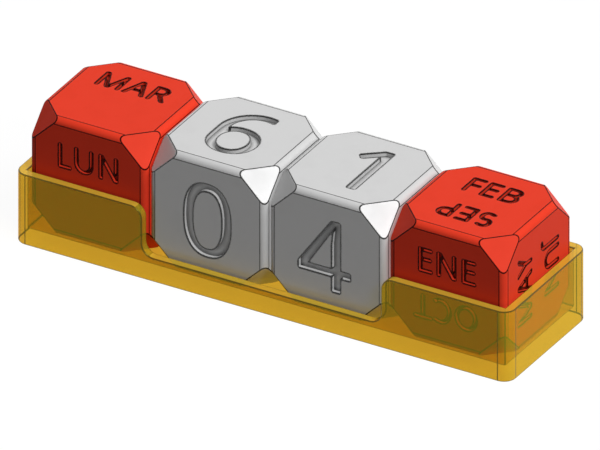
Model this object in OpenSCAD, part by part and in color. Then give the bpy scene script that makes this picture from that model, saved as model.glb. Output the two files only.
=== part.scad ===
// Perpetual desk calendar: four loose blocks standing in a tray.
// The weekday block, the two digit blocks and the month block are lifted out,
// turned to the face that is wanted and set back in.
// Lengths are in millimetres. X runs along the row, -Y is the front, +Z is up,
// and the origin lies in the middle of the tray's underside.

/* [Blocks] */
// Length of a block's edge
block_size = 40; // [36:1:60]
// Radius along a block's edges
edge_radius = 2; // [0.5:0.25:3]
// How far the cut at each corner runs back along the edges
corner_cut = 10; // [7:0.5:14]
// Gap between two neighbouring blocks
block_gap = 1; // [0.5:0.1:3]

/* [Tray] */
// Play between the blocks and the walls around them
block_play = 0.5; // [0.3:0.1:1.5]
// Thickness of the walls
wall_thickness = 3; // [2.5:0.5:6]
// Thickness of the floor
floor_thickness = 4; // [2:0.5:8]
// Height of the walls above the floor
wall_height = 20; // [16:1:30]
// Height of the low stretch of the front wall above the floor
sill_height = 4; // [2:0.5:6]
// Radius of the front wall's steps, at the crest and at the foot
step_radius = 4; // [1:0.5:4.5]
// Radius of the tray's upright outer corners
corner_radius = 4; // [1:0.5:5]

/* [Digits] */
// Height of the digits with flat ends
digit_height = 24; // [18:1:26]
// Width of the round digits
digit_width = 16; // [12:0.5:18]
// Thickness of the upright strokes
stroke = 2.9; // [2:0.1:3.5]
// Thickness of the level strokes
crossbar = 2.5; // [1.5:0.25:3]
// How far the round digits reach past the flat ends
overshoot = 0.4; // [0:0.1:0.6]
// Depth of the engraving
engraving = 1.5; // [0.5:0.25:3]

/* [Hidden] */
$fn = 72;

// Row and tray
block_count = 4;
pitch = block_size + block_gap;
cavity_length = block_count * block_size + (block_count - 1) * block_gap + 2 * block_play;
cavity_width = block_size + 2 * block_play;
tray_length = cavity_length + 2 * wall_thickness;
tray_width = cavity_width + 2 * wall_thickness;
tray_height = floor_thickness + wall_height;
// The low stretch ends in the middle of the gaps beside the two digit blocks
window_half = pitch;
sill_top = floor_thickness + sill_height;
// How far a cut runs past the face that it opens
past = 1;

// Corner cuts: the plane stands square to the block's diagonal
diagonal_tilt = acos(1 / sqrt(3));
cut_from_centre = (3 * block_size / 2 - corner_cut) / sqrt(3);

// Places of the six faces, as turns of the front face:
// front, right, back, left, top and bottom
FACES = [[0, 0, 0], [0, 0, 90], [0, 0, 180], [0, 0, 270], [-90, 0, 0], [90, 0, 0]];
// A pair of blocks shows every day from 01 to 31, the 6 also as a 9
TENS = [0, 1, 2, 8, 6, 7];
UNITS = [4, 5, 3, 2, 1, 0];

// Digits, measured from the middle of the face
half_width = digit_width / 2;
half_height = digit_height / 2;
round_half = half_height + overshoot;
// Thickness of a stroke where it bends
bend = (stroke + crossbar) / 2;
// Exponents of the 0 and of the round bowls: 2 is an ellipse, and more is squarer
zero_power = 2.4;
bowl_power = 2.1;
// Turn from one point of a curve to the next, in degrees
curve_step = 6;

// The proportions below are shares of the digits' half width and half height.
// The 1: left side of its stem, and the slope of its flag
one_stem = 0.25 * half_width;
flag_slope = 39;
// The 2: radius of its bowl and the angles between which it runs
two_bowl = 0.9 * half_width;
two_start = 150;
two_end = -40;
// The 3 and the 8: half heights of their two bowls, which share a stroke at the waist
upper_bowl = 0.51 * round_half;
lower_bowl = round_half - upper_bowl + bend / 2;
// The 3: end angle of its bowls, and how far its middle bar reaches left
three_end = 148;
three_bar = 0.42 * half_width;
// The 4: left side of its stem, how far its point passes the round digits
// and where its bar lies
four_stem = 0.21 * half_width;
four_reach = 0.22 * half_width;
four_bar = -0.36 * half_height;
// How far below the top its counter ends and starts to lean into the stem
four_apex = 0.19 * half_height;
four_straight = 0.67 * half_height;
four_lean = 0.2 * stroke;
// The 5: radius of its bowl, the angles between which it runs
// and where its top bar ends
five_bowl = 0.98 * half_width;
five_start = 135;
five_end = -145;
five_bar = 0.82 * half_width;
// The 6: half height of its bowl, radius of its back, where its top stroke ends
// and how far its stem rises straight from the bowl
six_bowl = 0.62 * round_half;
six_back = 0.89 * round_half;
six_tip = 0.75 * half_width;
six_rise = 0.03 * round_half;
// The 7: where its leg stands
seven_foot = -0.5 * half_width;
// The 8: half width of its upper bowl
eight_top = 0.87 * half_width;

// A rectangle with four round corners
module rounded_rectangle(length, width, radius) {
  square([length - 2 * radius, width], center = true);
  square([length, width - 2 * radius], center = true);
  for (x = [-1, 1], y = [-1, 1])
    translate([x * (length / 2 - radius), y * (width / 2 - radius)])
      circle(r = radius);
}

// Points along an arc, from one angle to the other
function arc(centre, radius, from, to) =
  let (steps = ceil(abs(to - from) / curve_step))
  [
    for (i = [0:steps])
      let (angle = from + (to - from) * i / steps)
        centre + radius * [cos(angle), sin(angle)]
  ];

// Points along a round shape between an ellipse and a rectangle
function swell(part, power) = sign(part) * pow(abs(part), 2 / power);
function bowl(centre, half_x, half_y, power = bowl_power, from = 0, to = 360 - curve_step) =
  let (steps = ceil(abs(to - from) / curve_step))
  [
    for (i = [0:steps])
      let (angle = from + (to - from) * i / steps)
        centre + [half_x * swell(cos(angle), power), half_y * swell(sin(angle), power)]
  ];

module zero() {
  difference() {
    polygon(bowl([0, 0], half_width, round_half, zero_power));
    polygon(bowl([0, 0], half_width - stroke, round_half - crossbar, zero_power));
  }
}

module one() {
  translate([one_stem, -half_height]) square([stroke, digit_height]);
  translate([one_stem, half_height])
    rotate(180 + flag_slope) square([half_width, crossbar]);
}

module two() {
  centre = [0, round_half - two_bowl];
  inner = two_bowl - bend;
  base_y = crossbar - half_height;
  // The leg leaves the bowl straight on and comes down onto the base
  leave = [for (radius = [inner, two_bowl]) centre + radius * [cos(two_end), sin(two_end)]];
  land = [for (point = leave) point.x + (point.y - base_y) * tan(two_end)];
  polygon(concat(
    arc(centre, two_bowl, two_start, two_end),
    [[land[1], base_y], [half_width, base_y], [half_width, -half_height]],
    [[land[0], -half_height], [land[0], base_y]],
    arc(centre, inner, two_end, two_start)
  ));
}

module three() {
  upper = [0, round_half - upper_bowl];
  lower = [0, lower_bowl - round_half];
  // Where the outsides of the two bowls meet
  meet_y = (lower_bowl ^ 2 - upper_bowl ^ 2 + upper.y ^ 2 - lower.y ^ 2) / (2 * (upper.y - lower.y));
  upper_angle = asin((meet_y - upper.y) / upper_bowl);
  lower_angle = asin((meet_y - lower.y) / lower_bowl);
  polygon(concat(
    arc(upper, upper_bowl, three_end, upper_angle),
    arc(lower, lower_bowl, lower_angle, -three_end),
    arc(lower, lower_bowl - bend, -three_end, 90),
    [[-three_bar, upper.y - upper_bowl], [-three_bar, upper.y - upper_bowl + bend]],
    arc(upper, upper_bowl - bend, -90, three_end)
  ));
}

module four() {
  point = -half_width - four_reach;
  slope = atan2(half_height - four_bar, four_stem - point);
  inner_point = point + crossbar / sin(slope);
  translate([point, four_bar - crossbar]) square([four_reach + digit_width, crossbar]);
  difference() {
    union() {
      polygon([[point, four_bar], [four_stem, four_bar], [four_stem, half_height]]);
      translate([four_stem, -half_height]) square([stroke, digit_height]);
    }
    polygon([
      [inner_point, four_bar],
      [four_stem, four_bar],
      [four_stem, half_height - four_straight],
      [four_stem + four_lean, half_height - four_apex]
    ]);
  }
}

module five() {
  centre = [0, five_bowl - round_half];
  inner = five_bowl - bend;
  // The bowl's inner side starts at the foot of the stem's right side
  join = centre + inner * [cos(five_start), sin(five_start)];
  meet = acos(join.x / five_bowl);
  bar_y = half_height - crossbar;
  polygon(concat(
    [[join.x - bend, half_height], [five_bar, half_height], [five_bar, bar_y], [join.x, bar_y]],
    arc(centre, five_bowl, meet, five_end),
    arc(centre, inner, five_end, five_start),
    [[join.x - bend, join.y]]
  ));
}

module six() {
  bowl_centre = [0, six_bowl - round_half];
  back_centre = [six_back - half_width, round_half - six_back];
  back_tip = acos((six_tip - back_centre.x) / six_back);
  // The bowl ends at the stem's right side, which then bends over to the tip
  stem_x = stroke - half_width;
  join = 180 - acos(pow(-stem_x / half_width, bowl_power / 2));
  join_y = bowl_centre.y + six_bowl * swell(sin(join), bowl_power);
  inner_back = round_half - crossbar - join_y - six_rise;
  inner_centre = [stem_x + inner_back, join_y + six_rise];
  inner_tip = acos((six_tip - inner_centre.x) / inner_back);
  difference() {
    polygon(concat(
      arc(back_centre, six_back, back_tip, 180),
      bowl(bowl_centre, half_width, six_bowl, bowl_power, 180, 360 + join),
      arc(inner_centre, inner_back, 180, inner_tip)
    ));
    polygon(bowl(bowl_centre, half_width - stroke, six_bowl - crossbar + overshoot));
  }
}

module seven() {
  bar_y = half_height - crossbar;
  slope = atan2(digit_height, half_width - stroke - seven_foot);
  leg = stroke / sin(slope);
  polygon([
    [-half_width, half_height],
    [half_width, half_height],
    [half_width, bar_y],
    [seven_foot + leg, -half_height],
    [seven_foot, -half_height],
    [half_width - leg, bar_y],
    [-half_width, bar_y]
  ]);
}

module eight() {
  upper = [0, round_half - upper_bowl];
  lower = [0, lower_bowl - round_half];
  difference() {
    union() {
      polygon(bowl(upper, eight_top, upper_bowl));
      polygon(bowl(lower, half_width, lower_bowl));
    }
    polygon(bowl(upper, eight_top - stroke, upper_bowl - bend));
    polygon(bowl(lower, half_width - stroke, lower_bowl - bend));
  }
}

module digit(value) {
  if (value == 0) zero();
  if (value == 1) one();
  if (value == 2) two();
  if (value == 3) three();
  if (value == 4) four();
  if (value == 5) five();
  if (value == 6) six();
  if (value == 7) seven();
  if (value == 8) eight();
}

// A block with its middle at the origin: three rounded bars crossing,
// then one plane cut across each of the eight corners
module block() {
  difference() {
    intersection_for(turn = [[0, 0, 0], [90, 0, 0], [0, 90, 0]])
      rotate(turn)
        linear_extrude(block_size, center = true)
          rounded_rectangle(block_size, block_size, edge_radius);
    for (tilt = [diagonal_tilt, 180 - diagonal_tilt], turn = [45:90:315])
      rotate([0, tilt, turn])
        translate([-corner_cut, -corner_cut, cut_from_centre])
          cube(2 * corner_cut);
  }
}

// The six digits of a block, each sunk into its own face
module engraved_digits(values) {
  for (i = [0:len(FACES) - 1])
    rotate(FACES[i])
      translate([0, engraving - block_size / 2, 0])
        rotate([90, 0, 0])
          linear_extrude(engraving + past)
            digit(values[i]);
}

module digit_block(values) {
  difference() {
    block();
    engraved_digits(values);
  }
}

// Moves a block to its place in the row, counted from the left
module in_row(place) {
  translate([(place - (block_count - 1) / 2) * pitch, 0, floor_thickness + block_size / 2])
    children();
}

// Outline of what is taken out of the front wall, seen from the front:
// round corners at the sill, and a flare at the top that rounds both crests
module front_window() {
  translate([step_radius - window_half, sill_top])
    square([2 * (window_half - step_radius), wall_height]);
  translate([-window_half, sill_top + step_radius])
    square([2 * window_half, wall_height]);
  for (side = [-1, 1])
    translate([side * (window_half - step_radius), sill_top + step_radius])
      circle(r = step_radius);
  difference() {
    translate([-window_half - step_radius, tray_height - step_radius])
      square([2 * (window_half + step_radius), step_radius + past]);
    for (side = [-1, 1])
      translate([side * (window_half + step_radius), tray_height - step_radius])
        circle(r = step_radius);
  }
}

module tray() {
  color([0.93, 0.66, 0.13, 0.6])
    difference() {
      linear_extrude(tray_height)
        rounded_rectangle(tray_length, tray_width, corner_radius);
      translate([-cavity_length / 2, -cavity_width / 2, floor_thickness])
        cube([cavity_length, cavity_width, wall_height + past]);
      translate([0, past - cavity_width / 2, 0])
        rotate([90, 0, 0])
          linear_extrude(wall_thickness + 2 * past)
            front_window();
    }
}

module weekday_block() {
  color([0.90, 0.26, 0.18]) in_row(0) block();
}

module tens_block() {
  color([0.83, 0.83, 0.83]) in_row(1) digit_block(TENS);
}

module units_block() {
  color([0.83, 0.83, 0.83]) in_row(2) digit_block(UNITS);
}

module month_block() {
  color([0.90, 0.26, 0.18]) in_row(3) block();
}

tray();
weekday_block();
tens_block();
units_block();
month_block();
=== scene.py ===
"""Dresses the perpetual desk calendar: an amber tray and four engraved blocks.

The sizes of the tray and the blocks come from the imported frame. MM is one millimetre at
the frame's own size, so every length of the calendar below follows the frame.
"""
import math

import bmesh
import bpy
from bpy.props import FloatProperty, FloatVectorProperty, PointerProperty
from bpy.types import Operator, Panel, PropertyGroup
from mathutils import Matrix, Vector


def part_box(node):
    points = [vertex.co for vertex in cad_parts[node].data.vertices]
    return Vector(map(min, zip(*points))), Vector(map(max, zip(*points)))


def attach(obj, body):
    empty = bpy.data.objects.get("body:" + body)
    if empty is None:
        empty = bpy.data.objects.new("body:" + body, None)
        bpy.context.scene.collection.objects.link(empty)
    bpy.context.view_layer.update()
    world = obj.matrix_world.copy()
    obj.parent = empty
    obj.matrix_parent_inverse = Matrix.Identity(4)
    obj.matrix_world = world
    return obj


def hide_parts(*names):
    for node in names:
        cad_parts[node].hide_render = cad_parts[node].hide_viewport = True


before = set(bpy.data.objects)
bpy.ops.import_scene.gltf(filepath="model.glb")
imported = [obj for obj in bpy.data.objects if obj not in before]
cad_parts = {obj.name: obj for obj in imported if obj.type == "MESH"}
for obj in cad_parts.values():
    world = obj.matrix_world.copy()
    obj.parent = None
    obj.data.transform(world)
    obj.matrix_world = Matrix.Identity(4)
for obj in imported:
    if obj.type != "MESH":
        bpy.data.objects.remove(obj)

bl_info = {
    "name": "Perpetual Calendar",
    "version": (1, 0, 0),
    "blender": (4, 5, 0),
    "location": "View3D > Sidebar > Calendar",
    "description": "Builds a desk calendar of engraved blocks in a see-through tray",
    "category": "Object",
}

TRAY_LOW, TRAY_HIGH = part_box("tray")
BLOCK_LOW, BLOCK_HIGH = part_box("tens_block")
BLOCK_SIZE = BLOCK_HIGH.z - BLOCK_LOW.z
MM = BLOCK_SIZE / 40

AXES = [Vector((1, 0, 0)), Vector((0, 1, 0)), Vector((0, 0, 1))]
DIAGONALS = [Vector((x, y, z)).normalized() for x in (-1, 1) for y in (-1, 1) for z in (-1, 1)]

# Points closer than this are one point: in a solid, in a CAD mesh and in an outline
TINY, CAD_TINY, OUTLINE_TINY = 1e-4 * MM, 1e-3 * MM, 0.04 * MM
# How far a point, or a face's middle, may lie off the place that it is looked for at
NEAR, FACE_NEAR = 0.01 * MM, 0.1 * MM
# How far a cut runs past the face that it opens
PAST = MM
# How closely a face's normal follows a direction, as a cosine: on a face square to it, on
# a face of an outline, and on a face that counts as looking up
SQUARE, FLAT, UPWARDS = 0.9999, 0.999, 0.9
# An edge that bends less than the first is shaded round, and one that bends more than the
# second gets a rim
SHARP, RIMMED = math.radians(35), math.radians(30)
# Faces that bend less than this become one: in the tray and in an outline
STRAIGHT, OUTLINE_STRAIGHT = math.radians(0.5), math.radians(1)
# Flat steps in a round edge: of a block, of the tray's corners and steps, of a fine edge
EDGE_STEPS, CORNER_STEPS, FINE_STEPS = 10, 12, 2
# Degrees that a letter's bow bends at each of its corners, and its fewest corners
BOW_BEND, BOW_STEPS = 7, 6
# Materials of the tray, in the order of its slots: walls, dark rims, and a lit copy for faces
# that look up, with painted light from above
WALLS, RIM, TOPS = range(3)

# Directions from the calendar to the lamps, and the lamps' widths in metres. They stand
# LAMP_DISTANCE metres away, which is far for any size of the calendar.
KEY_SIDE, KEY_WIDTH = (0.53, -0.06, 0.8), 4.8
GLINT_SIDE, GLINT_WIDTH = (0.688, -0.371, 0.621), 2
BACK_SIDE, BACK_WIDTH = (-0.7, 0.6, 0.4), 8
LAMP_DISTANCE = 12
CAMERA_DISTANCE = 25 * BLOCK_SIZE
# Half the floor's width, and how far it lies under the tray, so that the two don't touch
FLOOR_REACH, FLOOR_DROP = 40 * BLOCK_SIZE, 0.02 * MM

# Directions of a block's faces: along the words, up the words and outwards
FACES = {
    "front": ((1, 0, 0), (0, 0, 1), (0, -1, 0)),
    "right": ((0, 1, 0), (0, 0, 1), (1, 0, 0)),
    "back": ((-1, 0, 0), (0, 0, 1), (0, 1, 0)),
    "left": ((0, -1, 0), (0, 0, 1), (-1, 0, 0)),
    "top": ((1, 0, 0), (0, 1, 0), (0, 0, 1)),
    "bottom": ((1, 0, 0), (0, -1, 0), (0, 0, -1)),
}

# Words on a face: above the middle, below it and upside down, and a turn of both
WEEKDAYS = {
    "front": ("LUN", "", 0),
    "top": ("MAR", "", 0),
    "right": ("MIE", "", 0),
    "back": ("JUE", "", 0),
    "left": ("VIE", "", 0),
    "bottom": ("SAB", "DOM", 0),
}
MONTHS = {
    "front": ("ENE", "OCT", 0),
    "top": ("FEB", "SEP", 0),
    "right": ("MAY", "JUN", 90),
    "back": ("MAR", "AGO", 0),
    "left": ("ABR", "JUL", 0),
    "bottom": ("NOV", "DIC", 0),
}

# Letters: gap before, width and gap after, as shares of their height, then the strokes.
# A stroke's places are shares of the letter's width and height.
#   stem: place across, bottom, top
#   bar: place up, left end, right end
#   slant: places across at its bottom and its top, bottom, top
#   bow: middle, outer half width and height, first angle, sweep
LETTERS = {
    "A": (0, 0.89, 0, [
        ("slant", 0, 0.5, 0, 1), ("slant", 1, 0.5, 0, 1), ("bar", 0.34, 0.2, 0.8),
    ]),
    "B": (0.14, 0.7, 0.07, [
        ("stem", 0, 0, 1), ("bar", 1, 0, 0.5), ("bar", 0.532, 0, 0.5), ("bar", 0, 0, 0.5),
        ("bow", 0.5, 0.735, 0.43, 0.265, -90, 180), ("bow", 0.5, 0.295, 0.5, 0.295, -90, 180),
    ]),
    "C": (0.09, 0.75, 0.05, [("bow", 0.61, 0.5, 0.61, 0.51, 52, 256)]),
    "D": (0.14, 0.8, 0.09, [
        ("stem", 0, 0, 1), ("bar", 1, 0, 0.36), ("bar", 0, 0, 0.36),
        ("bow", 0.36, 0.5, 0.64, 0.5, -90, 180),
    ]),
    "E": (0.14, 0.56, 0.08, [
        ("stem", 0, 0, 1), ("bar", 1, 0, 1), ("bar", 0.54, 0, 0.94), ("bar", 0, 0, 1),
    ]),
    "F": (0.14, 0.56, 0.03, [
        ("stem", 0, 0, 1), ("bar", 1, 0, 1), ("bar", 0.5, 0, 0.94),
    ]),
    "G": (0.09, 0.83, 0.1, [
        ("bow", 0.54, 0.5, 0.54, 0.51, 50, 262), ("stem", 1, 0.07, 0.5), ("bar", 0.43, 0.56, 1),
    ]),
    "I": (0.14, 0.13, 0.14, [("stem", 0, 0, 1)]),
    "J": (-0.22, 0.44, 0.05, [
        ("stem", 1, -0.02, 1), ("bow", 0.35, -0.02, 0.65, 0.26, -118, 118),
    ]),
    "L": (0.17, 0.53, 0.03, [("stem", 0, 0, 1), ("bar", 0, 0, 1)]),
    "M": (0.14, 0.99, 0.14, [
        ("stem", 0, 0, 1), ("slant", 0.5, 0, 0, 1), ("slant", 0.5, 1, 0, 1), ("stem", 1, 0, 1),
    ]),
    "N": (0.14, 0.78, 0.14, [("stem", 0, 0, 1), ("slant", 1, 0, 0, 1), ("stem", 1, 0, 1)]),
    "O": (0.09, 0.92, 0.09, [("bow", 0.5, 0.5, 0.5, 0.515, 0, 360)]),
    "P": (0.14, 0.63, 0.07, [
        ("stem", 0, 0, 1), ("bar", 1, 0, 0.46), ("bar", 0.453, 0, 0.46),
        ("bow", 0.46, 0.7, 0.54, 0.3, -90, 180),
    ]),
    "R": (0.14, 0.73, 0.1, [
        ("stem", 0, 0, 1), ("bar", 1, 0, 0.4), ("bar", 0.487, 0, 0.4),
        ("bow", 0.4, 0.715, 0.44, 0.285, -90, 180), ("slant", 1, 0.42, 0, 0.5),
    ]),
    "S": (0.07, 0.63, 0.07, [
        ("bow", 0.4, 0.72, 0.62, 0.29, 40, 50), ("bow", 0.4, 0.72, 0.4, 0.29, 90, 200),
        ("bow", 0.6, 0.28, 0.4, 0.29, -90, 200), ("bow", 0.6, 0.28, 0.62, 0.29, 220, 50),
    ]),
    "T": (0.01, 0.75, 0.01, [("bar", 1, 0, 1), ("stem", 0.5, 0, 1)]),
    "U": (0.13, 0.76, 0.13, [
        ("stem", 0, 0.36, 1), ("bow", 0.5, 0.36, 0.5, 0.375, 180, 180), ("stem", 1, 0.36, 1),
    ]),
    "V": (0, 0.83, 0, [("slant", 0.5, 0, 0, 1), ("slant", 0.5, 1, 0, 1)]),
    "Y": (0, 0.78, 0.12, [
        ("slant", 0.5, 0, 0.42, 1), ("slant", 0.5, 1, 0.42, 1), ("stem", 0.5, 0, 0.45),
    ]),
}


def length(name, description, millimetres):
    """A length that a user may change, given in millimetres."""
    return FloatProperty(
        name=name, description=description, default=millimetres * MM,
        min=0, unit="LENGTH", subtype="DISTANCE",
    )


def share(name, description, value):
    """A number from 0 to 1 that a user may change."""
    return FloatProperty(
        name=name, description=description, default=value, min=0, max=1, subtype="FACTOR"
    )


def number(name, description, value):
    """A number of 0 or more that a user may change."""
    return FloatProperty(name=name, description=description, default=value, min=0)


def angle(name, description, degrees):
    """An angle that a user may change, given in degrees."""
    return FloatProperty(
        name=name, description=description, default=math.radians(degrees), subtype="ANGLE"
    )


def colour(name, description, value):
    """A colour that a user may change."""
    return FloatVectorProperty(
        name=name, description=description, default=value, size=3, min=0, max=1,
        subtype="COLOR",
    )


class BlockSettings(PropertyGroup):
    """Sizes and colours of the four blocks."""

    edge_radius: length("Edge radius", "Radius along a block's edges", 2)
    corner_cut: length("Corner cut", "How far the cut at a corner runs back along the edges", 10)
    arris: length("Arris", "Width of the rounding around a corner cut", 0.22)
    engraving: length("Engraving", "Depth of the digits", 1.5)
    word_engraving: length("Word engraving", "Depth of the words", 1.2)
    letter_height: length("Letter height", "Height of the words", 8.1)
    stem: length("Stem", "Thickness of the letters' upright strokes", 1.05)
    bar: length("Bar", "Thickness of the letters' level strokes", 0.95)
    baseline: length("Baseline", "From the middle of a face to the foot of its words", 3.9)
    red: colour("Red", "Colour of the weekday block and the month block", (0.83, 0.05, 0.021))
    red_roughness: share("Red roughness", "Roughness of the red plastic", 0.5)
    red_shine: share("Red shine", "How much light the red plastic mirrors", 0.06)
    grey: colour("Grey", "Colour of the two digit blocks", (0.65, 0.65, 0.65))
    grey_roughness: share("Grey roughness", "Roughness of the grey plastic", 0.21)
    grey_shine: share("Grey shine", "How much light the grey plastic mirrors", 0.46)
    dark: share("Dark", "How much of a plastic's colour is left where it is darkest", 0.03)
    mottle: share("Mottle", "How much its darkness varies from place to place", 0.16)
    mottle_roughness: share("Mottled roughness", "How much its roughness varies", 0.12)
    # The hollows of the engraving are drawn darker and rougher, and their bottoms darker still:
    # painted shade where less light reaches
    hollow_shade_reach: length("Grime reach", "How near a hollow's walls are where it gathers", 1.6)
    hollow_shade: share("Hollow shade", "How dark the hollows of the engraving are", 0.34)
    hollow_shade_roughness: share("Grime roughness", "How much rougher they are", 0.2)
    bottom_shade: number("Bottom shade", "How dark the bottom of the engraving is", 1.28)
    edge_line: share("Edge line", "Reach of the dark lines along the engraving, as a share "
                     "of its depth", 0.54)
    edge_start: share("Edge start", "How sharp an edge is that gets such a line", 0.14)
    edge_dark: number("Edge darkness", "How fast they darken above that", 12)
    hairline: length("Hairline", "Width of the fine lines along the round edges", 0.34)
    hairline_dark: share("Hairline darkness", "How dark these lines are", 0.95)
    cut_line: length("Cut line", "Width of the dark lines around a corner cut, measured "
                     "as a sum along the three axes", 0.4)
    cut_gap: length("Cut gap", "From the corner cut to this line, in the same way", 0.04)
    grain: length("Grain", "Height of the plastic's fine grain", 0.012)


class TraySettings(PropertyGroup):
    """Sizes and colours of the tray."""

    wall: length("Wall", "Thickness of the walls", 3)
    floor: length("Floor", "Thickness of the floor", 4)
    sill: length("Sill", "Height of the low stretch of the front wall above the floor", 4)
    step_radius: length("Step radius", "Radius of the front wall's steps", 4)
    corner_radius: length("Corner radius", "Radius of the upright outer corners", 4)
    rim: length("Rim", "Width of the dark bevel along the edges", 0.36)
    corner_line: length("Corner line", "Width of the fine lines where the round upright "
                        "corners begin", 0.34)
    corner_line_haze: share("Corner line haze", "How much more haze these lines show", 0.75)
    amber: colour("Amber", "Colour of the resin's own haze", (0.95, 1.0, 0.07))
    tint: colour("Tint", "Colour that one surface gives to what is seen through it",
                 (0.8, 0.55, 0.15))
    lamp_tint: colour("Lamp tint", "Colour that one surface gives to the lamps' light",
                      (1.0, 0.93, 0.6))
    haze: share("Haze", "How much of the resin's own colour one surface shows", 0.21)
    pearl: share("Pearl", "How much of that haze mirrors its surroundings", 0.15)
    gloss: colour("Gloss", "Colour of the light that the resin mirrors", (1.0, 0.8, 0.08))
    # Faces that look up show a hazier, more orange copy of the resin: painted light from above
    lit_top: colour("Lit top", "Colour of the haze where a face looks up", (1.0, 0.7, 0.07))
    lit_top_haze: share("Satin haze", "How much of it such a face shows", 0.46)
    rim_haze: share("Rim haze", "The same along the edges", 0.9)
    rim_colour: colour("Rim colour", "Colour of the resin along the edges",
                       (0.07, 0.042, 0.008))
    roughness: share("Roughness", "Roughness of the resin", 0.2)
    cloud: share("Cloud", "How much of the haze's colour is left in the darkest clouds", 0.86)
    ripple: length("Ripple", "Height of the resin's ripples", 0.02)


class StageSettings(PropertyGroup):
    """Camera, lamps and floor."""

    azimuth: angle("Azimuth", "Camera's turn round the calendar, from straight in front", 30)
    elevation: angle("Elevation", "Camera's height above the horizon", 30)
    span: length("Span", "Length that fills the picture's width", 178.17)
    aim_side: length("Aim side", "Picture's middle, left of the tray's middle", 0.212)
    aim_up: length("Aim up", "Picture's middle, above the tray's middle", 5.609)
    key: number("Key", "Light that the key lamp gives", 0.98)
    fill: share("Fill", "Share of the key lamp's light that casts no shadows", 0.65)
    glint: number("Glint", "Light that the glint lamp gives", 0.14)
    back: number("Back", "Light that the back lamp gives", 0.04)
    sky: share("Sky", "Light from all round", 0.048)
    floor_tone: share("Floor tone", "How much light the floor gives back", 0.13)
    floor_white: number("Floor white", "Light that the floor shows in all", 1.02)


class Signal:
    """A value in a material. Sums and comparisons with it add Math nodes."""

    def __init__(self, finish, socket):
        self.finish = finish
        self.socket = socket

    def maths(self, operation, first, second):
        return self.finish.node("ShaderNodeMath", {"operation": operation}, {0: first, 1: second})

    def __add__(self, other):
        return self.maths("ADD", self, other)

    def __sub__(self, other):
        return self.maths("SUBTRACT", self, other)

    def __rsub__(self, other):
        return self.maths("SUBTRACT", other, self)

    def __mul__(self, other):
        return self.maths("MULTIPLY", self, other)

    def __lt__(self, other):
        return self.maths("LESS_THAN", self, other)

    def __gt__(self, other):
        return self.maths("GREATER_THAN", self, other)

    def at_least(self, other):
        """The larger of both."""
        return self.maths("MAXIMUM", self, other)

    __radd__ = __add__
    __rmul__ = __mul__


class Finish:
    """A material, or the world, while it is put together."""

    def __init__(self, owner):
        owner.use_nodes = True
        self.owner = owner
        self.tree = owner.node_tree
        self.tree.nodes.clear()

    def node(self, kind, settings=None, sockets=None, output=0):
        """Adds a node, and returns one of its outputs."""
        node = self.tree.nodes.new(kind)
        for name, value in (settings or {}).items():
            setattr(node, name, value)
        for name, value in (sockets or {}).items():
            if isinstance(value, Signal):
                self.tree.links.new(value.socket, node.inputs[name])
            else:
                node.inputs[name].default_value = value
        return Signal(self, node.outputs[output]) if node.outputs else None

    def place(self, middle):
        """Places in millimetres, measured from the middle of the piece."""
        own = self.node("ShaderNodeTexCoord", output="Object")
        return self.node("ShaderNodeMapping", sockets={
            "Vector": own, "Location": -middle / MM, "Scale": Vector((1, 1, 1)) / MM,
        })

    def distances(self, place):
        """How far a place is from the middle along each axis."""
        apart = self.node("ShaderNodeVectorMath", {"operation": "ABSOLUTE"}, {0: place})
        return [
            self.node("ShaderNodeSeparateXYZ", sockets={0: apart}, output=axis)
            for axis in range(3)
        ]

    def line(self, distance, border, width):
        """1 on a line of a width, in metres, at a distance from the middle."""
        return self.node("ShaderNodeMath", {"operation": "COMPARE"}, {
            0: distance, 1: border / MM, 2: width / MM / 2,
        })

    def noise(self, place, grain, detail, roughness=0.55):
        """Noise from 0 to 1 whose patches are about grain millimetres wide."""
        return self.node("ShaderNodeTexNoise", sockets={
            "Vector": place, "Scale": 1 / grain, "Detail": detail, "Roughness": roughness,
        })

    def mix(self, part, first, second):
        """A colour between two others, with this part of the second."""
        return self.node("ShaderNodeMix", {"data_type": "RGBA"}, {
            "Factor": part, 6: first, 7: second,
        }, output=2)

    def crowded(self, reach, inside):
        """How much of the piece is near: in its hollows, or inside along its edges."""
        return 1 - self.node(
            "ShaderNodeAmbientOcclusion",
            {"samples": 8, "only_local": True, "inside": inside}, {"Distance": reach},
            output="AO")

    def bump(self, height, depth):
        """Normals of a surface that stands up by depth where height is 1."""
        return self.node("ShaderNodeBump", sockets={
            "Strength": 1.0, "Distance": depth, "Height": height,
        })

    def seen_straight(self):
        """1 for what the camera sees, also in gloss and through glass."""
        rays = ("Is Camera Ray", "Is Glossy Ray", "Is Transmission Ray")
        return sum(self.node("ShaderNodeLightPath", output=ray) for ray in rays)

    def show(self, surface, output="ShaderNodeOutputMaterial"):
        """Ends the material or the world with its surface."""
        self.node(output, sockets={"Surface": surface})
        return self.owner


def rgba(value, level=1.0):
    """A colour times a level, with full alpha."""
    return (*(level * part for part in value), 1.0)


def corner_sum(settings):
    """What the distances from a block's middle, along its axes, add up to on a corner cut."""
    return 1.5 * BLOCK_SIZE - settings.corner_cut


def look_of(slot, settings):
    """Colour, roughness and shine of a block's plastic."""
    return {
        "red_block": (settings.red, settings.red_roughness, settings.red_shine),
        "grey_block": (settings.grey, settings.grey_roughness, settings.grey_shine),
    }[slot]


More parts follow.
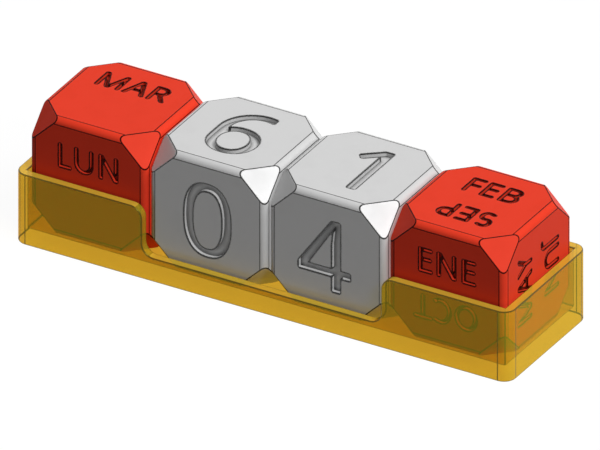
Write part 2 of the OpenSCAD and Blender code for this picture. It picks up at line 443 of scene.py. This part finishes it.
def plastic(name, slot, middle, depth, settings):
    """Moulded plastic of a soft sheen, with painted shade in its hollows, darkest at the
    engraving's bottom, a little mottle, dark lines along its sharp edges, and fine ones where its
    flat faces turn into the round edges."""
    base, roughness, shine = look_of(slot, settings)
    finish = Finish(bpy.data.materials.new(name))
    place = finish.place(middle)
    distances = finish.distances(place)
    total = sum(distances)
    corner = (corner_sum(settings) - settings.cut_gap) / MM
    beside_corner = total < corner
    around_corner = (total > corner - settings.cut_line / MM) * beside_corner
    flat = BLOCK_SIZE / 2 - settings.edge_radius
    lines = beside_corner * sum(
        finish.line(distance, flat, settings.hairline) for distance in distances)
    mottle = finish.noise(place, grain=9, detail=3) - 0.5
    grain = finish.noise(place, grain=0.35, detail=2)
    # Painted shade: darker where the piece crowds round, in the hollows of the engraving
    hollow = finish.crowded(settings.hollow_shade_reach, inside=False)
    x, y, z = distances
    # Painted shade, darker still: only what lies as deep as an engraving's bottom, and in a
    # hollow
    sunk = (BLOCK_SIZE / 2 - depth + FACE_NEAR) / MM
    bottom = (x.at_least(y).at_least(z) < sunk) * hollow
    # A round edge is a little sharp too, and gets no line
    near_edge = finish.crowded(settings.edge_line * depth, inside=True)
    edge = (near_edge - settings.edge_start).at_least(0)
    # The darkness sums painted shade in the hollows and at the engraving's bottom, dark lines
    # along the sharp edges, around the corner cuts and along the round edges, and mottle
    dark = finish.node("ShaderNodeClamp", sockets={
        "Value": (hollow * settings.hollow_shade + bottom * settings.bottom_shade
                  + edge * settings.edge_dark + around_corner
                  + lines * settings.hairline_dark + mottle * settings.mottle),
    })
    surface = finish.node("ShaderNodeBsdfPrincipled", sockets={
        "Base Color": finish.mix(dark, rgba(base), rgba(base, settings.dark)),
        "Roughness": (mottle * settings.mottle_roughness
                      + hollow * settings.hollow_shade_roughness + roughness),
        "Specular IOR Level": shine,
        "Normal": finish.bump(grain, settings.grain),
    })
    return finish.show(surface)


def resin(name, base, haze, pearl, settings):
    """See-through cast resin: part of it shows its own hazy colour, and the rest lets
    what is behind it through, tinted. The haze doesn't stop the lamps' light. Fine lines
    stand where the round upright corners begin."""
    finish = Finish(bpy.data.materials.new(name))
    half = (TRAY_HIGH - TRAY_LOW) / 2
    place = finish.place((TRAY_LOW + TRAY_HIGH) / 2)
    distances = finish.distances(place)
    # The lines belong to the outer faces alone
    lines = sum(
        finish.line(distances[along], half[along] - settings.corner_radius,
                    settings.corner_line)
        * (distances[across] > (half[across] - FACE_NEAR) / MM)
        for along, across in ((0, 1), (1, 0))
    )
    # Clouds in the resin: a little darker, rougher and denser in places
    cloud = finish.noise(place, grain=22, detail=4) - 0.5
    cloudy = finish.mix(cloud * 0.5 + 0.25, rgba(base), rgba(base, settings.cloud))
    ripple = finish.noise(place, grain=3, detail=2)
    surface = finish.node("ShaderNodeBsdfPrincipled", sockets={
        "Base Color": finish.mix(lines, cloudy, rgba(settings.rim_colour)),
        "Roughness": cloud * 0.08 + settings.roughness,
        "Metallic": pearl,
        "Specular IOR Level": 1.0,
        "Specular Tint": rgba(settings.gloss),
        "Normal": finish.bump(ripple, settings.ripple),
    })
    behind = finish.node("ShaderNodeBsdfTransparent", sockets={"Color": rgba(settings.tint)})
    seen = finish.node("ShaderNodeMixShader", sockets={
        0: cloud * 0.02 + lines * settings.corner_line_haze + haze, 1: behind, 2: surface,
    })
    lit = finish.node("ShaderNodeBsdfTransparent", sockets={
        "Color": rgba(settings.lamp_tint)})
    from_lamp = finish.node("ShaderNodeLightPath", output="Is Shadow Ray")
    return finish.show(finish.node("ShaderNodeMixShader", sockets={
        0: from_lamp, 1: seen, 2: lit,
    }))


def parts_of(geometry, kind):
    """The vertices, edges or faces among what an operator gave back."""
    return [part for part in geometry if isinstance(part, kind)]


def mesh_of(bm, name):
    """Ends a mesh in work, and returns it as a finished one."""
    mesh = bpy.data.meshes.new(name)
    bm.to_mesh(mesh)
    bm.free()
    return mesh


def add_object(name, data):
    """Adds an object to the scene."""
    made = bpy.data.objects.new(name, data)
    bpy.context.scene.collection.objects.link(made)
    return made


def add_box(bm, low, high):
    """Adds a box between two corners."""
    low, high = Vector(low), Vector(high)
    place = Matrix.Translation((low + high) / 2) @ Matrix.Diagonal((high - low)).to_4x4()
    bmesh.ops.create_cube(bm, size=1, matrix=place)


def round_off(bm, edges, radius, segments):
    """Bevels edges with a round profile, and returns the new faces."""
    return bmesh.ops.bevel(
        bm, geom=edges, offset=radius, offset_type="OFFSET", segments=segments,
        profile=0.5, affect="EDGES", material=-1,
    )["faces"]


def put_in_order(bm):
    """Makes a mesh anew in the order of its places, and ends the old one, because a cut
    gives its parts in another order each time."""
    outlines = set()
    for face in bm.faces:
        corners = [tuple(vert.co) for vert in face.verts]
        turned = min(corners[first:] + corners[:first] for first in range(len(corners)))
        outlines.add(tuple(dict.fromkeys(turned)))
    places = sorted({tuple(vert.co) for vert in bm.verts})
    bm.free()
    made = bmesh.new()
    verts = {place: made.verts.new(place) for place in places}
    for outline in sorted(outlines):
        corners = [verts[place] for place in outline]
        if len(corners) > 2 and not made.faces.get(corners):
            made.faces.new(corners)
    return made


def combine(solid, tool, operation, crossing=False):
    """Cuts the tool out of the solid, or keeps what both share. Both end, and the result
    is a new mesh in work. Parts of the tool may cross each other if crossing is true."""
    stock, tool = (add_object("loose", mesh_of(bm, "loose")) for bm in (solid, tool))
    cut = stock.modifiers.new("cut", "BOOLEAN")
    cut.operation = operation
    cut.solver = "EXACT"
    cut.use_self = crossing
    cut.object = tool
    bpy.context.view_layer.update()
    result = bmesh.new()
    result.from_object(stock, bpy.context.evaluated_depsgraph_get())
    for passing in (stock, tool):
        # This removes the object too
        bpy.data.meshes.remove(passing.data)
    result = put_in_order(result)
    bmesh.ops.remove_doubles(result, verts=result.verts[:], dist=TINY)
    result.normal_update()
    return result


def finish_piece(bm, name, node, materials, flats):
    """Makes the piece that stands for a CAD node, and lets it ride on the node's body.
    Faces square to one of the flats stay flat, and the others are shaded round."""
    for face in bm.faces:
        face.smooth = not any(abs(face.normal.dot(flat)) > SQUARE for flat in flats)
    for edge in bm.edges:
        edge.smooth = edge.calc_face_angle(0) < SHARP
    mesh = mesh_of(bm, name)
    for material in materials:
        mesh.materials.append(material)
    piece = add_object(name, mesh)
    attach(piece, node)
    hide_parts(node)


def rounded_block(settings):
    """A block with its middle at the origin: round edges and eight cut corners."""
    bm = bmesh.new()
    bmesh.ops.create_cube(bm, size=BLOCK_SIZE)
    round_off(bm, bm.edges[:], settings.edge_radius, EDGE_STEPS)
    cut_from_middle = corner_sum(settings) / math.sqrt(3)
    for diagonal in DIAGONALS:
        cut = bmesh.ops.bisect_plane(
            bm, geom=bm.verts[:] + bm.edges[:] + bm.faces[:], dist=TINY,
            plane_co=diagonal * cut_from_middle, plane_no=diagonal, clear_outer=True,
        )["geom_cut"]
        bmesh.ops.contextual_create(bm, geom=parts_of(cut, bmesh.types.BMEdge))
    bm.normal_update()
    corners = [
        face for face in bm.faces
        if max(face.normal.dot(diagonal) for diagonal in DIAGONALS) > SQUARE
    ]
    border = {edge for face in corners for edge in face.edges}
    round_off(bm, list(border), settings.arris, FINE_STEPS)
    bmesh.ops.recalc_face_normals(bm, faces=bm.faces[:])
    return bm


def add_straight(bm, left_bottom, left_top, bottom, top, width):
    """Adds a straight stroke with level ends: a parallelogram."""
    square = bmesh.ops.create_grid(bm, x_segments=1, y_segments=1, size=0.5)
    lean = left_top - left_bottom
    place = Matrix((
        (width, lean, 0, (left_bottom + left_top + width) / 2),
        (0, top - bottom, 0, (bottom + top) / 2),
        (0, 0, 1, 0),
        (0, 0, 0, 1),
    ))
    bmesh.ops.transform(bm, matrix=place, verts=square["verts"])


def add_bow(bm, middle, radii, thickness, start, sweep):
    """Adds a bent stroke between two ellipses: a flat ring, whose two borders are then
    stretched to their sizes."""
    before = set(bm.verts)
    hole = 0.5
    inner, outer = bm.verts.new((hole, 0, 0)), bm.verts.new((1, 0, 0))
    spoke = bm.edges.new((inner, outer))
    turn = Matrix.Rotation(math.radians(start), 4, "Z")
    bmesh.ops.transform(bm, matrix=turn, verts=[inner, outer])
    bmesh.ops.spin(
        bm, geom=[inner, outer, spoke], cent=(0, 0, 0), axis=(0, 0, 1), dvec=(0, 0, 0),
        angle=math.radians(sweep), steps=max(BOW_STEPS, round(sweep / BOW_BEND)),
        use_merge=sweep == 360, use_duplicate=False,
    )
    made = set(bm.verts) - before
    between = (hole + 1) / 2
    outside = [vert for vert in made if vert.co.length > between]
    inside = [vert for vert in made if vert.co.length < between]
    for border, scale in ((outside, radii), (inside, (radii - thickness) / hole)):
        bmesh.ops.scale(bm, vec=(scale.x, scale.y, 1), verts=border)
    bmesh.ops.translate(bm, vec=(middle.x, middle.y, 0), verts=list(made))


def add_letter(bm, letter, left, settings):
    """Draws one letter on the line from its left side."""
    _, width, _, strokes = LETTERS[letter]
    height = settings.letter_height
    width *= height
    stem, bar = settings.stem, settings.bar
    for kind, *places in strokes:
        if kind == "stem":
            across, bottom, top = places
            x = left + across * (width - stem)
            add_straight(bm, x, x, bottom * height, top * height, stem)
        elif kind == "bar":
            up, start, end = places
            y = up * (height - bar)
            x = left + start * width
            add_straight(bm, x, x, y, y + bar, (end - start) * width)
        elif kind == "slant":
            at_bottom, at_top, bottom, top = places
            run = (at_top - at_bottom) * (width - stem)
            rise = (top - bottom) * height
            # As thick as a stem, so it is wider where a level line crosses it
            crossing = stem * math.hypot(run, rise) / rise
            room = width - crossing
            add_straight(bm, left + at_bottom * room, left + at_top * room,
                         bottom * height, top * height, crossing)
        else:
            x, y, half_width, half_height, start, sweep = places
            add_bow(bm, Vector((left + x * width, y * height)),
                    Vector((half_width * width, half_height * height)),
                    Vector((stem, bar)), start, sweep)


def add_word(bm, word, turn, settings):
    """Draws a word above the middle of a face, then turns it round the middle."""
    before = set(bm.verts)
    height = settings.letter_height
    left = -sum(sum(LETTERS[letter][:3]) for letter in word) * height / 2
    for letter in word:
        gap_before, width, gap_after, _ = LETTERS[letter]
        add_letter(bm, letter, left + gap_before * height, settings)
        left += (gap_before + width + gap_after) * height
    made = list(set(bm.verts) - before)
    place = Matrix.Rotation(math.radians(turn), 4, "Z") @ Matrix.Translation(
        (0, settings.baseline, 0))
    bmesh.ops.transform(bm, matrix=place, verts=made)


def keep_level(bm, level, facing):
    """Keeps the faces at a level that face up (1) or down (-1), as few as will do, and
    lays them in the middle."""
    others = [
        face for face in bm.faces
        if face.normal.z * facing < FLAT
        or abs(face.calc_center_median().z - level) > FACE_NEAR
    ]
    bmesh.ops.delete(bm, geom=others, context="FACES")
    bmesh.ops.remove_doubles(bm, verts=bm.verts[:], dist=OUTLINE_TINY)
    bmesh.ops.dissolve_limit(
        bm, angle_limit=OUTLINE_STRAIGHT, verts=bm.verts[:], edges=bm.edges[:])
    bmesh.ops.translate(bm, vec=(0, 0, -level), verts=bm.verts[:])
    return bm


def sunk_digit(node, middle, place, settings):
    """The bottom of one of the CAD block's engraved digits."""
    bm = bmesh.new()
    bm.from_mesh(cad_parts[node].data)
    bmesh.ops.remove_doubles(bm, verts=bm.verts[:], dist=CAD_TINY)
    to_face = (Matrix.Translation(middle) @ place).inverted()
    bmesh.ops.transform(bm, matrix=to_face, verts=bm.verts[:])
    bm.normal_update()
    return keep_level(bm, -settings.engraving, 1)


def thicken(bm, thickness):
    """Turns flat outlines into closed prisms."""
    raised = bmesh.ops.extrude_face_region(bm, geom=bm.faces[:], use_keep_orig=True)["geom"]
    upper = parts_of(raised, bmesh.types.BMVert)
    bmesh.ops.translate(bm, vec=(0, 0, thickness), verts=upper)
    bmesh.ops.recalc_face_normals(bm, faces=bm.faces[:])


def melt_strokes(bm):
    """Makes one outline of strokes that cross: what thick strokes share with a plate that
    begins halfway up them has it as its underside."""
    halfway = MM
    thicken(bm, 2 * halfway)
    plate = bmesh.new()
    half = BLOCK_SIZE / 2
    add_box(plate, (-half, -half, halfway), (half, half, 3 * halfway))
    return keep_level(combine(plate, bm, "INTERSECT", crossing=True), halfway, -1)


def engraved_block(node, outline_of, depth, settings):
    """A block with one outline cut into each face, and the block's middle."""
    low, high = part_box(node)
    middle = (low + high) / 2
    half = BLOCK_SIZE / 2
    cutters = bmesh.new()
    for side, directions in FACES.items():
        turn = Matrix(directions).transposed().to_4x4()
        place = turn @ Matrix.Translation((0, 0, half))
        outline = outline_of(side, middle, place)
        thicken(outline, depth + PAST)
        sunk = place @ Matrix.Translation((0, 0, -depth))
        bmesh.ops.transform(outline, matrix=sunk, verts=outline.verts[:])
        cutter = mesh_of(outline, "cutter")
        cutters.from_mesh(cutter)
        bpy.data.meshes.remove(cutter)
    block = combine(rounded_block(settings), cutters, "DIFFERENCE")
    bmesh.ops.translate(block, vec=middle, verts=block.verts[:])
    return block, middle


def make_block(node, outline_of, depth, slot, settings):
    """Makes an engraved block with its plastic."""
    block, middle = engraved_block(node, outline_of, depth, settings)
    body = plastic(node + "_plastic", slot, middle, depth, settings)
    finish_piece(block, node + "_engraved", node, [body], AXES + DIAGONALS)


def make_word_block(node, words, settings):
    """Makes a red block with words on its faces."""
    def outline_of(side, middle, place):
        above, below, turn = words[side]
        outline = bmesh.new()
        add_word(outline, above, turn, settings)
        add_word(outline, below, turn + 180, settings)
        return melt_strokes(outline)

    make_block(node, outline_of, settings.word_engraving, "red_block", settings)


def make_digit_block(node, settings):
    """Makes a grey block with the digits of its CAD node."""
    def outline_of(side, middle, place):
        return sunk_digit(node, middle, place, settings)

    make_block(node, outline_of, settings.engraving, "grey_block", settings)


def runs_along(edge, axis):
    """Whether an edge runs along an axis for more than a millimetre."""
    start, end = edge.verts
    return abs(start.co[axis] - end.co[axis]) > MM


def tray_body(settings):
    """The tray: round upright corners, a cavity, and a front wall with a low stretch
    between two round steps."""
    low, high, wall = TRAY_LOW, TRAY_HIGH, settings.wall
    floor_top = low.z + settings.floor
    sill_top = floor_top + settings.sill
    outer = bmesh.new()
    add_box(outer, low, high)
    upright = [edge for edge in outer.edges if runs_along(edge, 2)]
    round_off(outer, upright, settings.corner_radius, CORNER_STEPS)

    cavity = bmesh.new()
    add_box(cavity, (low.x + wall, low.y + wall, floor_top),
            (high.x - wall, high.y - wall, high.z + PAST))
    # The low stretch ends in the middle of the gaps beside the two digit blocks
    window = (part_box("tens_block")[0].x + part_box("weekday_block")[1].x) / 2
    add_box(cavity, (window, low.y - PAST, sill_top),
            (-window, low.y + wall + PAST, high.z + PAST))
    tray = combine(outer, cavity, "DIFFERENCE", crossing=True)

    def on_step(place):
        across = abs(abs(place.x) - abs(window)) < NEAR
        return across and place.y < low.y + wall + NEAR and place.z > floor_top + NEAR

    steps = [
        edge for edge in tray.edges
        if runs_along(edge, 1) and all(on_step(vert.co) for vert in edge.verts)
    ]
    round_off(tray, steps, settings.step_radius, CORNER_STEPS)
    bmesh.ops.dissolve_limit(
        tray, angle_limit=STRAIGHT, verts=tray.verts[:], edges=tray.edges[:])
    bent = [edge for edge in tray.edges if edge.calc_face_angle(0) > RIMMED]
    for face in round_off(tray, bent, settings.rim, FINE_STEPS):
        face.material_index = RIM
    bmesh.ops.recalc_face_normals(tray, faces=tray.faces[:])
    tray.normal_update()
    # Faces that look up take the lit copy of the resin: painted light from above
    for face in tray.faces:
        if face.material_index == WALLS and face.normal.z > UPWARDS:
            face.material_index = TOPS
    return tray


class CALENDAR_OT_tray(Operator):
    """Build the see-through tray, with the low stretch in its front wall"""

    bl_idname = "calendar.tray"
    bl_label = "Tray"

    def execute(self, context):
        settings = context.scene.calendar_tray
        tray = tray_body(settings)
        resins = [
            resin(name, base, haze, pearl, settings)
            for name, base, haze, pearl in (
                ("tray_resin", settings.amber, settings.haze, settings.pearl),
                ("tray_edges", settings.rim_colour, settings.rim_haze, 0),
                # A lit copy for faces that look up: painted light from above
                ("tray_lit_top", settings.lit_top, settings.lit_top_haze, 0),
            )
        ]
        finish_piece(tray, "tray_shell", "tray", resins, AXES)
        return {"FINISHED"}


class CALENDAR_OT_weekday_block(Operator):
    """Build the red block that shows the weekday"""

    bl_idname = "calendar.weekday_block"
    bl_label = "Weekday block"

    def execute(self, context):
        make_word_block("weekday_block", WEEKDAYS, context.scene.calendar_blocks)
        return {"FINISHED"}


class CALENDAR_OT_digit_blocks(Operator):
    """Build the two grey blocks that show the day of the month"""

    bl_idname = "calendar.digit_blocks"
    bl_label = "Digit blocks"

    def execute(self, context):
        for node in ("tens_block", "units_block"):
            make_digit_block(node, context.scene.calendar_blocks)
        return {"FINISHED"}


class CALENDAR_OT_month_block(Operator):
    """Build the red block that shows the month"""

    bl_idname = "calendar.month_block"
    bl_label = "Month block"

    def execute(self, context):
        make_word_block("month_block", MONTHS, context.scene.calendar_blocks)
        return {"FINISHED"}


def add_floor(settings):
    """Adds a floor that the camera sees white, and that keeps the calendar's shadow."""
    ground = bmesh.new()
    bmesh.ops.create_grid(ground, x_segments=1, y_segments=1, size=FLOOR_REACH)
    bmesh.ops.translate(ground, vec=(0, 0, -FLOOR_DROP), verts=ground.verts[:])
    mesh = mesh_of(ground, "floor")
    finish = Finish(bpy.data.materials.new("floor_card"))
    card = finish.node("ShaderNodeBsdfDiffuse", sockets={
        "Color": rgba((1, 1, 1), settings.floor_tone)})
    glow = finish.node("ShaderNodeEmission", sockets={
        "Strength": finish.seen_straight() * (settings.floor_white - settings.floor_tone)})
    mesh.materials.append(finish.show(
        finish.node("ShaderNodeAddShader", sockets={0: card, 1: glow})))
    add_object("floor", mesh)


def add_sky(settings):
    """Adds a world that the camera sees white, and that gives a little light."""
    sky = Finish(bpy.data.worlds.new("sky"))
    level = sky.seen_straight() * (1 - settings.sky) + settings.sky
    light = sky.node("ShaderNodeBackground", sockets={
        "Color": rgba((1, 1, 1)), "Strength": level})
    bpy.context.scene.world = sky.show(light, "ShaderNodeOutputWorld")


def add_lamp(name, direction, width, level, shadows=True):
    """Adds a square soft lamp that aims at the calendar. At level 1 a surface that faces
    it renders in its own colour."""
    lamp = bpy.data.lights.new(name, "AREA")
    lamp.size = width
    lamp.energy = level * math.pi**2 * LAMP_DISTANCE**2
    lamp.use_shadow = shadows
    holder = add_object(name, lamp)
    towards = Vector(direction).normalized()
    holder.location = towards * LAMP_DISTANCE
    holder.rotation_euler = towards.to_track_quat("Z", "Y").to_euler()


def add_camera(settings):
    """Adds a camera without perspective that aims at the calendar."""
    azimuth, elevation = settings.azimuth, settings.elevation
    back = Vector((
        math.sin(azimuth) * math.cos(elevation),
        -math.cos(azimuth) * math.cos(elevation),
        math.sin(elevation),
    ))
    turn = back.to_track_quat("Z", "Y")
    right, up = turn @ AXES[0], turn @ AXES[1]
    middle = (TRAY_LOW + TRAY_HIGH) / 2
    aim = middle - right * settings.aim_side + up * settings.aim_up
    view = bpy.data.cameras.new("camera")
    view.type = "ORTHO"
    view.ortho_scale = settings.span
    camera = add_object("camera", view)
    camera.location = aim + back * CAMERA_DISTANCE
    camera.rotation_euler = turn.to_euler()
    bpy.context.scene.camera = camera


class CALENDAR_OT_stage(Operator):
    """Build the floor, the lamps and the camera"""

    bl_idname = "calendar.stage"
    bl_label = "Stage"

    def execute(self, context):
        scene = context.scene
        settings = scene.calendar_stage
        scene.view_settings.view_transform = "Standard"
        # A look along the row crosses many surfaces of resin
        scene.cycles.transparent_max_bounces = 24
        add_floor(settings)
        add_sky(settings)
        shadowless = settings.key * settings.fill
        add_lamp("key", KEY_SIDE, KEY_WIDTH, settings.key - shadowless)
        add_lamp("fill", KEY_SIDE, KEY_WIDTH, shadowless, shadows=False)
        add_lamp("glint", GLINT_SIDE, GLINT_WIDTH, settings.glint)
        add_lamp("back", BACK_SIDE, BACK_WIDTH, settings.back)
        add_camera(settings)
        return {"FINISHED"}


class CALENDAR_PT_panel(Panel):
    """Lists what builds the calendar."""

    bl_idname = "CALENDAR_PT_panel"
    bl_label = "Perpetual Calendar"
    bl_space_type = "VIEW_3D"
    bl_region_type = "UI"
    bl_category = "Calendar"

    def draw(self, context):
        for operator in OPERATORS:
            self.layout.operator(operator.bl_idname)
        for name in SETTINGS:
            box = self.layout.box()
            settings = getattr(context.scene, name)
            for key in settings.bl_rna.properties.keys():
                if key not in ("name", "rna_type"):
                    box.prop(settings, key)


SETTINGS = {
    "calendar_blocks": BlockSettings,
    "calendar_tray": TraySettings,
    "calendar_stage": StageSettings,
}
OPERATORS = (
    CALENDAR_OT_tray,
    CALENDAR_OT_weekday_block,
    CALENDAR_OT_digit_blocks,
    CALENDAR_OT_month_block,
    CALENDAR_OT_stage,
)


def register():
    for kind in (*SETTINGS.values(), *OPERATORS, CALENDAR_PT_panel):
        bpy.utils.register_class(kind)
    for name, kind in SETTINGS.items():
        setattr(bpy.types.Scene, name, PointerProperty(type=kind))


def unregister():
    for name in SETTINGS:
        delattr(bpy.types.Scene, name)
    for kind in (CALENDAR_PT_panel, *reversed(OPERATORS), *reversed(SETTINGS.values())):
        bpy.utils.unregister_class(kind)


def main():
    """Builds the whole calendar."""
    register()
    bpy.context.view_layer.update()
    bpy.ops.calendar.tray()
    bpy.ops.calendar.weekday_block()
    bpy.ops.calendar.digit_blocks()
    bpy.ops.calendar.month_block()
    bpy.ops.calendar.stage()


if __name__ == "__main__":
    main()
